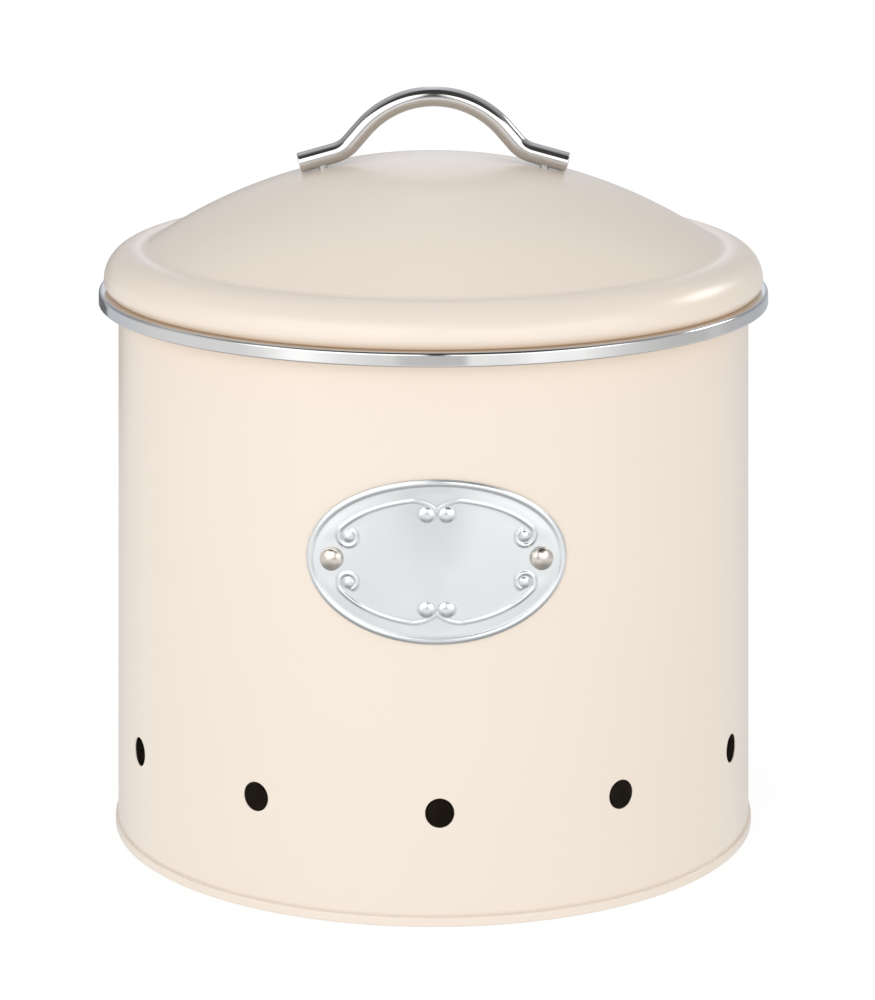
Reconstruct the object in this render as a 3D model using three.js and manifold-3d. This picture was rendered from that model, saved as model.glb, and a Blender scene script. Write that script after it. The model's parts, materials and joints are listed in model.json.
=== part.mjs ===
// A round bread bin of painted sheet steel: a vented body with a bright trim ring at its mouth, an oval
// label plate held by two rivets, and a domed lift-off lid with a bent rod handle.
// Millimetres, +Z up. The origin is the centre of the ring that the bin stands on, and the front is -Y.

import * as THREE from 'three';
import { mergeVertices } from 'three/addons/utils/BufferGeometryUtils.js';
import Module from 'manifold-3d';

// Driving dimensions
const SIDES = 48; // facets round the bin's axis
const SHEET = 0.6; // painted steel sheet
const FIT_GAP = 0.2; // room left between pieces that rest on each other
const CUT_GAP = 0.3; // room left round a shank in its hole
const FACET_GAP = 0.5; // room between a flat washer and the faceted dome

const BODY_RADIUS = 125;
const MOUTH_HEIGHT = 209.7; // top of the body's flange
const FLANGE_RADIUS = 132;
const FLANGE_TURN_DOWN = 3.5;

const SEAM_RADIUS = 126; // double seam at the base
const SEAM_HEIGHT = 3.5;
const SEAM_DEPTH = 2.7; // across the double seam, measured along the radius
const PANEL_HEIGHT = 3.2; // underside of the recessed base panel
const PANEL_STEP_RADIUS = 108; // the panel's middle is pressed up a little inside this radius
const PANEL_STEP = 1.2;

const VENT_COUNT = 11;
const VENT_RADIUS = 5.35;
const VENT_HEIGHT = 41.1;
const VENT_TURN = THREE.MathUtils.degToRad(0.5); // from the label's middle to the first vent

const LOCK_SEAM_WIDTH = 6;
const LOCK_SEAM_BOTTOM = 5;
const LOCK_SEAM_TOP = 192;

const TRIM = 0.5; // bright metal strip of the trim ring
const TRIM_RADIUS = 132.8;
const TRIM_BOTTOM = 205;
const TRIM_TOP = 210.4;
const TRIM_LIP_RADIUS = 123.7;
const TRIM_LIP_BOTTOM = 204.5;
const TRIM_TOP_ROUND = 1.5;
const TRIM_EDGE_ROUND = 0.5;
const TRIM_UNDER_RADIUS = 125.6; // inner edge of the leaf under the flange

const LABEL_HALF_WIDTH = 48.6; // along the wall
const LABEL_HALF_HEIGHT = 30;
const LABEL_HEIGHT = 132.7; // of the label's middle
const LABEL_THICKNESS = 0.6;
const LABEL_RIM_WIDTH = 2.7;
const LABEL_RIM_RISE = 0.7;

const RIVET_OFFSET = 38.7; // from the label's middle, along the wall
const RIVET_HEAD_RADIUS = 4.2;
const RIVET_HEAD_RISE = 2.8;
const RIVET_SHANK_RADIUS = 2;
const RIVET_TAIL_RADIUS = 3;
const RIVET_TAIL_RISE = 1.4;

const DOME_RADIUS = 204; // of the lid's spherical crown
const LID_TOP = 261.3;
const VALLEY_ROUND = 6; // hollow round that touches crown and shoulder
const SHOULDER_ROUND = 12;
const SHOULDER_RADIUS = 130.8; // the lid's widest radius
const SHOULDER_HEIGHT = 214.4; // of the widest radius
const ROLL_ROUND = 4.5; // the shoulder rolls under with this radius
const LID_BOTTOM = TRIM_TOP + FIT_GAP;
const HEM_RADIUS = 123.4; // inner edge of the hem leaf

const COLLAR_RADIUS = 122.4;
const COLLAR_BOTTOM = 197;
const COLLAR_FLANGE_RADIUS = 126.6;

const ROD_RADIUS = 4;
const HANDLE_TOP = 285.2; // of the rod's centre line
const CROWN_BEND = 37; // bends along the rod's centre line
const FOOT_BEND = 13;
const FLANK_SLOPE = THREE.MathUtils.degToRad(49);
const FOOT_SLOPE = THREE.MathUtils.degToRad(15.5);
const FOOT_END = { x: 53.5, z: 258.6 }; // end of the rod's centre line

const SCREW_OFFSET = 44; // from the lid's axis to the hole in the lid
const SCREW_RADIUS = 2;
const SCREW_REACH = 7.6; // from the lid's outside into the rod
const SCREW_HEAD_RADIUS = 4;
const SCREW_HEAD_HEIGHT = 2.5;
const WASHER_RADIUS = 5;
const WASHER_HEIGHT = 0.8;

const materials = {
  cream: { color: 0xf1e6d3, roughness: 0.45, metalness: 0 },
  chrome: { color: 0xd9dadb, roughness: 0.12, metalness: 1 },
  tin: { color: 0xc4c6ca, roughness: 0.4, metalness: 1 },
  nickel: { color: 0xc9bda9, roughness: 0.25, metalness: 1 },
  zinc: { color: 0xb4b8bc, roughness: 0.35, metalness: 1 },
};

const wasm = await Module();
wasm.setup();

function piece(name, geometry, finish) {
  const mesh = new THREE.Mesh(geometry, new THREE.MeshStandardMaterial(materials[finish]));
  mesh.name = name;
  return mesh;
}

// The triangles of a closed geometry as a solid that can be cut and joined.
function solid(geometry) {
  const bare = geometry.clone();
  bare.deleteAttribute('normal');
  bare.deleteAttribute('uv');
  const merged = mergeVertices(bare);
  const corners = merged.index.array;
  const triVerts = [];
  for (let i = 0; i < corners.length; i += 3) {
    const [a, b, c] = corners.slice(i, i + 3);
    if (a !== b && b !== c && c !== a) triVerts.push(a, b, c);
  }
  return new wasm.Manifold(new wasm.Mesh({
    numProp: 3,
    vertProperties: merged.attributes.position.array,
    triVerts: new Uint32Array(triVerts),
  }));
}

function surface(body) {
  const mesh = body.getMesh();
  const geometry = new THREE.BufferGeometry();
  geometry.setAttribute('position', new THREE.BufferAttribute(mesh.vertProperties, 3));
  geometry.setIndex(new THREE.BufferAttribute(mesh.triVerts, 1));
  return geometry;
}

// An outline of [radius, height] pairs, turned round +Z. It runs anticlockwise, with radius to the right.
function turned(outline, sides = SIDES) {
  const points = outline.map(([radius, height]) => new THREE.Vector2(radius, height));
  return new THREE.LatheGeometry(points, sides).rotateX(Math.PI / 2);
}

function ring(outline, sides = SIDES) {
  return turned([...outline, outline[0]], sides);
}

// Points on an arc about [radius, height] = middle, with angles in degrees from the +radius direction.
function arc(middle, size, from, to, steps) {
  const points = [];
  for (let i = 0; i <= steps; i += 1) {
    const angle = THREE.MathUtils.degToRad(from + ((to - from) * i) / steps);
    points.push([middle[0] + size * Math.cos(angle), middle[1] + size * Math.sin(angle)]);
  }
  return points;
}

// A round bar that crosses the wall, at an angle round the bin from the front.
function crossBar(radius, angle, height, sides) {
  const length = 20;
  const bar = new THREE.CylinderGeometry(radius, radius, length, sides);
  return bar.translate(0, -BODY_RADIUS, height).rotateZ(angle);
}

const rivetAngles = [-1, 1].map((side) => (side * RIVET_OFFSET) / BODY_RADIUS);

function rivetHoles() {
  const sides = 12;
  return rivetAngles.map((angle) => solid(crossBar(RIVET_SHANK_RADIUS + CUT_GAP, angle, LABEL_HEIGHT, sides)));
}

function bodyShell() {
  const inside = BODY_RADIUS - SHEET;
  const foot = SHEET + FIT_GAP;
  let shell = solid(ring([
    [inside, foot],
    [BODY_RADIUS, foot],
    [BODY_RADIUS, MOUTH_HEIGHT - SHEET],
    [FLANGE_RADIUS - SHEET, MOUTH_HEIGHT - SHEET],
    [FLANGE_RADIUS - SHEET, MOUTH_HEIGHT - FLANGE_TURN_DOWN],
    [FLANGE_RADIUS, MOUTH_HEIGHT - FLANGE_TURN_DOWN],
    [FLANGE_RADIUS, MOUTH_HEIGHT - SHEET],
    [FLANGE_RADIUS - SHEET, MOUTH_HEIGHT],
    [inside, MOUTH_HEIGHT],
  ]));
  const ventSides = 16;
  for (let i = 0; i < VENT_COUNT; i += 1) {
    const angle = VENT_TURN + (i * 2 * Math.PI) / VENT_COUNT;
    shell = shell.subtract(solid(crossBar(VENT_RADIUS, angle, VENT_HEIGHT, ventSides)));
  }
  for (const hole of rivetHoles()) shell = shell.subtract(hole);
  const fold = new THREE.BoxGeometry(LOCK_SEAM_WIDTH, 2 * SHEET, LOCK_SEAM_TOP - LOCK_SEAM_BOTTOM);
  fold.translate(0, inside - SHEET / 2, (LOCK_SEAM_TOP + LOCK_SEAM_BOTTOM) / 2);
  return surface(shell.add(solid(fold)));
}

function baseDisc() {
  const inner = SEAM_RADIUS - SEAM_DEPTH;
  const step = PANEL_HEIGHT + PANEL_STEP;
  const stepRun = 2 * PANEL_STEP;
  const round = 0.4;
  return turned([
    [0, step],
    [PANEL_STEP_RADIUS - stepRun, step],
    [PANEL_STEP_RADIUS, PANEL_HEIGHT],
    [inner, PANEL_HEIGHT],
    [inner, 0],
    [SEAM_RADIUS - round, 0],
    [SEAM_RADIUS, round],
    [SEAM_RADIUS, SEAM_HEIGHT - round],
    [SEAM_RADIUS - round, SEAM_HEIGHT],
    [SEAM_RADIUS - SHEET, SEAM_HEIGHT],
    [SEAM_RADIUS - SHEET, SHEET],
    [inner + SHEET, SHEET],
    [inner + SHEET, PANEL_HEIGHT + SHEET],
    [PANEL_STEP_RADIUS + SHEET, PANEL_HEIGHT + SHEET],
    [PANEL_STEP_RADIUS + SHEET - stepRun, step + SHEET],
    [0, step + SHEET],
  ]);
}

// A channel of thin strip, closed over the body's flange.
function rimTrimRing() {
  const top = TRIM_TOP - TRIM_TOP_ROUND;
  const low = TRIM_BOTTOM + TRIM_EDGE_ROUND;
  return ring([
    [TRIM_UNDER_RADIUS, TRIM_BOTTOM],
    ...arc([TRIM_RADIUS - TRIM_EDGE_ROUND, low], TRIM_EDGE_ROUND, -90, 0, 1),
    ...arc([TRIM_RADIUS - TRIM_TOP_ROUND, top], TRIM_TOP_ROUND, 0, 90, 2),
    [TRIM_LIP_RADIUS, TRIM_TOP],
    [TRIM_LIP_RADIUS, TRIM_LIP_BOTTOM],
    [TRIM_LIP_RADIUS + TRIM, TRIM_LIP_BOTTOM],
    [TRIM_LIP_RADIUS + TRIM, TRIM_TOP - TRIM],
    ...arc([TRIM_RADIUS - TRIM_TOP_ROUND, top], TRIM_TOP_ROUND - TRIM, 90, 0, 2),
    [TRIM_RADIUS - TRIM, TRIM_BOTTOM + TRIM],
    [TRIM_UNDER_RADIUS, TRIM_BOTTOM + TRIM],
  ]);
}

// A straight bar with an oval outline that is an ellipse once it is wrapped round the wall.
function ovalBar(halfWidth, halfHeight) {
  const corners = 48;
  const points = [];
  for (let i = 0; i < corners; i += 1) {
    const turn = (i * 2 * Math.PI) / corners;
    const along = (halfWidth * Math.cos(turn)) / BODY_RADIUS;
    points.push(new THREE.Vector2(BODY_RADIUS * Math.sin(along), halfHeight * Math.sin(turn)));
  }
  const depth = 40;
  const bar = new THREE.ExtrudeGeometry(new THREE.Shape(points), { depth, bevelEnabled: false });
  return solid(bar.rotateX(Math.PI / 2).translate(0, -BODY_RADIUS + depth / 2, LABEL_HEIGHT));
}

function wallLayer(inner, outer) {
  const reach = LABEL_HALF_HEIGHT + 5;
  return solid(ring([
    [inner, LABEL_HEIGHT - reach],
    [outer, LABEL_HEIGHT - reach],
    [outer, LABEL_HEIGHT + reach],
    [inner, LABEL_HEIGHT + reach],
  ]));
}

function labelPlate() {
  const back = BODY_RADIUS + FIT_GAP;
  const face = back + LABEL_THICKNESS;
  const sheet = wallLayer(back, face).intersect(ovalBar(LABEL_HALF_WIDTH, LABEL_HALF_HEIGHT));
  const field = ovalBar(LABEL_HALF_WIDTH - LABEL_RIM_WIDTH, LABEL_HALF_HEIGHT - LABEL_RIM_WIDTH);
  const frame = ovalBar(LABEL_HALF_WIDTH, LABEL_HALF_HEIGHT).subtract(field);
  let plate = sheet.add(wallLayer(back, face + LABEL_RIM_RISE).intersect(frame));
  for (const hole of rivetHoles()) plate = plate.subtract(hole);
  return surface(plate);
}

// A rivet on +Z, with zero at the wall's outside. Its head is a low dome and its tail is pressed flat inside.
function rivet() {
  const seat = FIT_GAP + LABEL_THICKNESS + FIT_GAP;
  const tail = -SHEET - FIT_GAP;
  const sides = 16;
  const domeRadius = (RIVET_HEAD_RADIUS ** 2 + RIVET_HEAD_RISE ** 2) / (2 * RIVET_HEAD_RISE);
  const domeMiddle = [0, seat + RIVET_HEAD_RISE - domeRadius];
  const edge = THREE.MathUtils.radToDeg(Math.asin((seat - domeMiddle[1]) / domeRadius));
  return turned([
    [0, tail - RIVET_TAIL_RISE],
    [RIVET_TAIL_RADIUS * 0.8, tail - RIVET_TAIL_RISE],
    [RIVET_TAIL_RADIUS, tail - RIVET_TAIL_RISE / 2],
    [RIVET_TAIL_RADIUS, tail],
    [RIVET_SHANK_RADIUS, tail],
    [RIVET_SHANK_RADIUS, seat],
    ...arc(domeMiddle, domeRadius, edge, 90, 4),
  ], sides);
}

// Each rivet stands near the middle of a facet, where the wall is closest to the axis.
function placedRivet(name, angle) {
  const wall = BODY_RADIUS * Math.cos(Math.PI / SIDES);
  const mesh = piece(name, rivet(), 'nickel');
  mesh.position.set(wall * Math.sin(angle), -wall * Math.cos(angle), LABEL_HEIGHT);
  mesh.rotation.set(Math.PI / 2, 0, angle, 'ZXY');
  return mesh;
}

const domeMiddle = [0, LID_TOP - DOME_RADIUS];

// One face of the lid's sheet, from its axis to its widest radius, at a depth under the outside.
function lidFace(depth) {
  const shoulderMiddle = [SHOULDER_RADIUS - SHOULDER_ROUND, SHOULDER_HEIGHT];
  const rise = shoulderMiddle[1] - domeMiddle[1];
  const span = Math.hypot(shoulderMiddle[0], rise);
  const toDome = DOME_RADIUS + VALLEY_ROUND;
  const toShoulder = SHOULDER_ROUND + VALLEY_ROUND;
  const apart = Math.acos((toDome ** 2 + span ** 2 - toShoulder ** 2) / (2 * toDome * span));
  const turn = Math.atan2(rise, shoulderMiddle[0]) + apart;
  const valleyMiddle = [toDome * Math.cos(turn), domeMiddle[1] + toDome * Math.sin(turn)];
  const crownEnd = THREE.MathUtils.radToDeg(turn);
  const lean = Math.asin((valleyMiddle[0] - shoulderMiddle[0]) / toShoulder);
  const shoulderStart = 90 - THREE.MathUtils.radToDeg(lean);
  return [
    ...arc(domeMiddle, DOME_RADIUS - depth, 90, crownEnd, 7),
    ...arc(valleyMiddle, VALLEY_ROUND + depth, 180 + crownEnd, 180 + shoulderStart, 2).slice(1),
    ...arc(shoulderMiddle, SHOULDER_ROUND - depth, shoulderStart, 0, 4).slice(1),
  ];
}

// The lid's hole for a handle screw runs along the dome's own normal.
const screwTilt = Math.asin(SCREW_OFFSET / DOME_RADIUS);

function screwHole(side, radius) {
  const length = 20;
  const sides = 12;
  const hole = new THREE.CylinderGeometry(radius, radius, length, sides);
  hole.rotateX(Math.PI / 2).translate(0, 0, DOME_RADIUS);
  return solid(hole.rotateY(side * screwTilt).translate(0, 0, domeMiddle[1]));
}

function lidShell() {
  const rollMiddle = [SHOULDER_RADIUS - ROLL_ROUND, SHOULDER_HEIGHT];
  const reachDown = THREE.MathUtils.radToDeg(Math.asin((LID_BOTTOM - SHOULDER_HEIGHT) / ROLL_ROUND));
  const innerRound = ROLL_ROUND - SHEET;
  const innerDown = THREE.MathUtils.radToDeg(Math.asin((LID_BOTTOM + SHEET - SHOULDER_HEIGHT) / innerRound));
  const rollSteps = 2;
  let shell = solid(turned([
    ...lidFace(SHEET),
    ...arc(rollMiddle, innerRound, 0, innerDown, rollSteps).slice(1),
    [HEM_RADIUS, LID_BOTTOM + SHEET],
    [HEM_RADIUS, LID_BOTTOM],
    ...arc(rollMiddle, ROLL_ROUND, reachDown, 0, rollSteps),
    ...lidFace(0).reverse().slice(1),
  ]));
  for (const side of [-1, 1]) shell = shell.subtract(screwHole(side, SCREW_RADIUS + CUT_GAP));
  return surface(shell);
}

// A plug ring whose flange is held above the lid's hem leaf.
function lidCollar() {
  const flangeBottom = LID_BOTTOM + SHEET + FIT_GAP;
  const leadIn = 1.2;
  return ring([
    [COLLAR_RADIUS - SHEET - leadIn / 2, COLLAR_BOTTOM],
    [COLLAR_RADIUS - leadIn / 2, COLLAR_BOTTOM],
    [COLLAR_RADIUS, COLLAR_BOTTOM + leadIn],
    [COLLAR_RADIUS, flangeBottom],
    [COLLAR_FLANGE_RADIUS, flangeBottom],
    [COLLAR_FLANGE_RADIUS, flangeBottom + SHEET],
    [COLLAR_RADIUS - SHEET, flangeBottom + SHEET],
    [COLLAR_RADIUS - SHEET, COLLAR_BOTTOM + leadIn],
  ]);
}

// The rod's centre line, in the plane y = 0: foot, bend, flank, crown, flank, bend, foot.
class HandlePath extends THREE.Curve {
  constructor() {
    super();
    const crown = { x: 0, z: HANDLE_TOP - CROWN_BEND };
    const flank = {
      x: CROWN_BEND * Math.sin(FLANK_SLOPE),
      z: crown.z + CROWN_BEND * Math.cos(FLANK_SLOPE),
    };
    const flankFall = Math.tan(FLANK_SLOPE);
    const footFall = Math.tan(FOOT_SLOPE);
    const flankAtAxis = flank.z + flank.x * flankFall;
    const footAtAxis = FOOT_END.z + FOOT_END.x * footFall;
    const corner = (flankAtAxis - footAtAxis) / (flankFall - footFall);
    const tangent = FOOT_BEND * Math.tan((FLANK_SLOPE - FOOT_SLOPE) / 2);
    const bendStart = {
      x: corner + tangent * Math.cos(FOOT_SLOPE),
      z: footAtAxis - corner * footFall - tangent * Math.sin(FOOT_SLOPE),
    };
    const bend = {
      x: bendStart.x + FOOT_BEND * Math.sin(FOOT_SLOPE),
      z: bendStart.z + FOOT_BEND * Math.cos(FOOT_SLOPE),
    };
    const down = -Math.PI / 2;
    this.flat = new THREE.Path();
    this.flat.moveTo(-FOOT_END.x, FOOT_END.z);
    this.flat.lineTo(-bendStart.x, bendStart.z);
    this.flat.absarc(-bend.x, bend.z, FOOT_BEND, down + FOOT_SLOPE, down + FLANK_SLOPE, false);
    this.flat.absarc(0, crown.z, CROWN_BEND, -down + FLANK_SLOPE, -down - FLANK_SLOPE, true);
    this.flat.absarc(bend.x, bend.z, FOOT_BEND, down - FLANK_SLOPE, down - FOOT_SLOPE, false);
    this.flat.lineTo(FOOT_END.x, FOOT_END.z);
  }

  getPoint(share, target = new THREE.Vector3()) {
    const point = this.flat.getPoint(share);
    return target.set(point.x, 0, point.y);
  }
}

function handleBar() {
  const section = new THREE.Shape().absarc(0, 0, ROD_RADIUS, 0, 2 * Math.PI);
  const rod = new THREE.ExtrudeGeometry(section, {
    extrudePath: new HandlePath(),
    steps: 40,
    curveSegments: 5,
  });
  const depth = SCREW_REACH + 2 * CUT_GAP;
  const sides = 12;
  let bar = solid(rod);
  for (const side of [-1, 1]) {
    const hole = new THREE.CylinderGeometry(SCREW_RADIUS + CUT_GAP, SCREW_RADIUS + CUT_GAP, depth, sides);
    hole.rotateX(Math.PI / 2).translate(0, 0, DOME_RADIUS + depth / 2);
    bar = bar.subtract(solid(hole.rotateY(side * screwTilt).translate(0, 0, domeMiddle[1])));
  }
  return surface(bar);
}

const washerTop = -SHEET - FACET_GAP;
const headTop = washerTop - WASHER_HEIGHT - FIT_GAP;

// A pan-head screw on +Z, with zero at the lid's outside and its head below.
function screw() {
  const round = 0.8;
  const bottom = headTop - SCREW_HEAD_HEIGHT;
  const sides = 16;
  return turned([
    [0, bottom],
    [SCREW_HEAD_RADIUS - round, bottom],
    [SCREW_HEAD_RADIUS, bottom + round],
    [SCREW_HEAD_RADIUS, headTop],
    [SCREW_RADIUS, headTop],
    [SCREW_RADIUS, SCREW_REACH],
    [0, SCREW_REACH],
  ], sides);
}

function washer() {
  const hole = SCREW_RADIUS + CUT_GAP;
  const sides = 16;
  return ring([
    [hole, washerTop - WASHER_HEIGHT],
    [WASHER_RADIUS, washerTop - WASHER_HEIGHT],
    [WASHER_RADIUS, washerTop],
    [hole, washerTop],
  ], sides);
}

// Screws and washers are turned on the lid's hole, which stands on the dome's normal.
function onScrewHole(side, meshes) {
  const group = new THREE.Group();
  group.position.set(side * SCREW_OFFSET, 0, domeMiddle[1] + DOME_RADIUS * Math.cos(screwTilt));
  group.rotation.y = side * screwTilt;
  group.add(...meshes);
  return group;
}

const breadBin = new THREE.Group();
breadBin.add(
  piece('body_shell', bodyShell(), 'cream'),
  piece('base_disc', baseDisc(), 'cream'),
  piece('rim_trim_ring', rimTrimRing(), 'chrome'),
  piece('label_plate', labelPlate(), 'tin'),
  placedRivet('label_rivet_left', rivetAngles[0]),
  placedRivet('label_rivet_right', rivetAngles[1]),
  piece('lid_shell', lidShell(), 'cream'),
  piece('lid_collar', lidCollar(), 'cream'),
  piece('handle_bar', handleBar(), 'chrome'),
  onScrewHole(-1, [piece('handle_screw_left', screw(), 'zinc'), piece('handle_washer_left', washer(), 'zinc')]),
  onScrewHole(1, [piece('handle_screw_right', screw(), 'zinc'), piece('handle_washer_right', washer(), 'zinc')]),
);

export default breadBin;
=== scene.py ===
"""Looks for the round bread bin: fine painted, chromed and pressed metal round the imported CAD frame."""

import json
import math

import bmesh
import bpy
import numpy as np
from mathutils import Matrix, Vector

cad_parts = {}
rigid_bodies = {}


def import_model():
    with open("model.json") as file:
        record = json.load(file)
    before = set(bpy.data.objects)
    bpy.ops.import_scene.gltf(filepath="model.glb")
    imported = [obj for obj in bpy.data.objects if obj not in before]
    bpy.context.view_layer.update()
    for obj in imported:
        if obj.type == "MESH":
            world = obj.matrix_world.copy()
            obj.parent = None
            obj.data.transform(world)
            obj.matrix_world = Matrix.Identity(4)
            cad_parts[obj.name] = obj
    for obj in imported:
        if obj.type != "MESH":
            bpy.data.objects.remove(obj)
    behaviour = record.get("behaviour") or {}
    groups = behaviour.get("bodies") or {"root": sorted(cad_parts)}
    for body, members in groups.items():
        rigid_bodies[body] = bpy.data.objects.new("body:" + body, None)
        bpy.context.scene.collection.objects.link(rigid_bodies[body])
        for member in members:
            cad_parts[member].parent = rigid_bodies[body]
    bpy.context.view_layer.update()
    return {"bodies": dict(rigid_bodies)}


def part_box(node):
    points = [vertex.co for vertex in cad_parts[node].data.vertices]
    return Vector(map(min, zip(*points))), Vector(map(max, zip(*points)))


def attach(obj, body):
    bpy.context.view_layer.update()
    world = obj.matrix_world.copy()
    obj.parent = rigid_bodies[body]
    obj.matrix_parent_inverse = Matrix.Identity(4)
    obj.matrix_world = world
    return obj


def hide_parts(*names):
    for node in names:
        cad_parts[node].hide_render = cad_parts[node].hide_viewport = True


MM = 0.001
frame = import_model()


# ------------------------------ sizes, in millimetres unless a name says otherwise

def top(node):
    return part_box(node)[1].z / MM


def bottom(node):
    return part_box(node)[0].z / MM


def reach(node):
    """The largest radius of a round node."""
    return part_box(node)[1].x / MM


SHEET = 0.6
SEAM_RADIUS = reach("base_disc")
WALL_RADIUS = SEAM_RADIUS - 1.0  # the base's double seam stands this much proud of the wall
TRIM_RADIUS = reach("rim_trim_ring")
TRIM_LIP_RADIUS = TRIM_RADIUS - 9.1  # of the trim ring's lip, inside the mouth
TRIM_TOP = top("rim_trim_ring")
TRIM_BOTTOM = 205.0
FLANGE_RADIUS = reach("body_shell")
FLANGE_TURN_DOWN = 3.5
MOUTH = top("body_shell")
LID_RADIUS = reach("lid_shell")
LID_TOP = top("lid_shell")
LID_BOTTOM = bottom("lid_shell")
HEM_RADIUS = 123.4  # inner edge of the lid's hem
COLLAR_RADIUS = 122.4
COLLAR_BOTTOM = bottom("lid_collar")

DOME_RADIUS = 204.0
VALLEY_ROUND = 6.0  # hollow round that touches dome and shoulder
SHOULDER_ROUND = 12.0
SHOULDER_HEIGHT = 214.4
ROLL_ROUND = 4.5  # the shoulder rolls under with this radius
DOME_MIDDLE = LID_TOP - DOME_RADIUS

VENTS = 11
VENT_RADIUS = 5.35
VENT_HEIGHT = 41.1
VENT_TURN = math.radians(0.5)

LABEL_HEIGHT = (top("label_plate") + bottom("label_plate")) / 2
LABEL_HALF_HEIGHT = (top("label_plate") - bottom("label_plate")) / 2
LABEL_HALF_WIDTH = WALL_RADIUS * math.asin(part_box("label_plate")[1].x / MM / WALL_RADIUS)
RIVET_OFFSET = 38.7

SCREW_OFFSET = 44.0
SCREW_TILT = math.asin(SCREW_OFFSET / DOME_RADIUS)


# ------------------------------ outlines and turned meshes

ON_AXIS = 1e-6  # points nearer to the axis than this lie on it
SUPPORT_INSET = 0.15  # from the end of a stretch to the point that keeps its shading flat
LONGEST_STRETCH = 12.0


def rise_between(value, start, end):
    """0 before start and 1 after end, smooth between, for numbers and arrays."""
    share = np.clip((value - start) / (end - start), 0, 1)
    return share * share * (3 - 2 * share)


def arc(middle, size, start, end, steps):
    """Points on an arc in the (radius, height) plane, with angles in degrees from the +radius direction."""
    points = []
    for i in range(steps + 1):
        angle = math.radians(start + (end - start) * i / steps)
        points.append((middle[0] + size * math.cos(angle), middle[1] + size * math.sin(angle)))
    return points


def supported(outline, closed):
    """Adds points near the ends of long stretches, to keep their shading flat, and splits very long ones."""
    result = []
    count = len(outline)
    for i in range(count if closed else count - 1):
        a = Vector(outline[i])
        b = Vector(outline[(i + 1) % count])
        length = (b - a).length
        result.append(tuple(a))
        if length > 6 * SUPPORT_INSET:
            near = SUPPORT_INSET / length
            pieces = max(1, round(length / LONGEST_STRETCH))
            shares = [near] + [k / pieces for k in range(1, pieces)] + [1 - near]
            result.extend(tuple(a.lerp(b, share)) for share in shares)
    if not closed:
        result.append(tuple(outline[-1]))
    return result


def turned(outline, sides=360):
    """Vertices and faces of an outline turned round +Z. It closes on itself, or runs from axis to axis."""
    on_axis = outline[0][0] < ON_AXIS
    points = supported(outline, not on_axis)
    angles = [2 * math.pi * i / sides for i in range(sides)]
    verts = []
    rows = []
    for radius, height in points:
        if radius < ON_AXIS:
            rows.append([len(verts)])
            verts.append((0, 0, height))
            continue
        rows.append(list(range(len(verts), len(verts) + sides)))
        verts.extend((radius * math.sin(a), -radius * math.cos(a), height) for a in angles)
    faces = []
    pairs = list(zip(rows, rows[1:])) + ([] if on_axis else [(rows[-1], rows[0])])
    for low, high in pairs:
        for i in range(sides):
            j = (i + 1) % sides
            corners = [low[i % len(low)], low[j % len(low)], high[j % len(high)], high[i % len(high)]]
            faces.append(list(dict.fromkeys(corners)))
    return verts, faces


def add_piece(name, shape, body, slot, material, *nodes):
    """A closed smooth mesh piece, given in millimetres, that rides on a body and stands for CAD nodes."""
    verts, faces = shape
    mesh = bpy.data.meshes.new(name)
    mesh.from_pydata([Vector(v) * MM for v in verts], [], faces)
    work = bmesh.new()
    work.from_mesh(mesh)
    bmesh.ops.recalc_face_normals(work, faces=work.faces)
    work.to_mesh(mesh)
    work.free()
    mesh.shade_smooth()
    mesh.materials.append(material)
    piece = bpy.data.objects.new(name, mesh)
    bpy.context.scene.collection.objects.link(piece)
    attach(piece, body)
    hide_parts(*nodes)
    return piece


def moved(shape, matrix):
    """The same shape with its vertices moved by a matrix."""
    verts, faces = shape
    return [matrix @ Vector(v) for v in verts], faces


# ------------------------------ body of the bin

VENT_COLUMNS = 32  # columns of the wall's grid from one vent to the next
VENT_PATCH = 8  # cells across the square patch that holds a vent
CELL = 2 * math.pi * WALL_RADIUS / (VENTS * VENT_COLUMNS)
VENT_LIP = 0.28  # soft painted edge of a vent
VENT_SURROUND = (2.1, 0.9, 0.45)  # widths of the flat rings round a vent
LOCK_SEAM_HALF = 3.0
LOCK_SEAM_RISE = 0.9
LOCK_SEAM_BOTTOM = 5.0
LOCK_SEAM_TOP = 192.0
LOCK_SEAM_FADE = 0.6  # height over which the lock seam ends
LOCK_GROOVE_HALF = 0.45  # groove that the fold leaves on the outside
LOCK_GROOVE_DEPTH = 0.28
LOCK_SEAM_COLUMNS = (1.2, 2.4, 2.7, 2.85, 3.0, 3.15, 3.3, 3.45, 3.8, 4.4)  # close at the groove


def wall_columns():
    """Angles of the wall's columns from the front, with closer ones over the lock seam at the back."""
    cell = 2 * math.pi / (VENTS * VENT_COLUMNS)
    even = [VENT_TURN + i * cell for i in range(VENTS * VENT_COLUMNS)]
    near = (LOCK_SEAM_COLUMNS[-1] + 0.2) / WALL_RADIUS
    kept = [a for a in even if abs(a - math.pi) > near]
    offsets = [0.0]
    for offset in LOCK_SEAM_COLUMNS:
        offsets += [offset, -offset]
    return sorted(kept + [math.pi + o / WALL_RADIUS for o in offsets])


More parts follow.
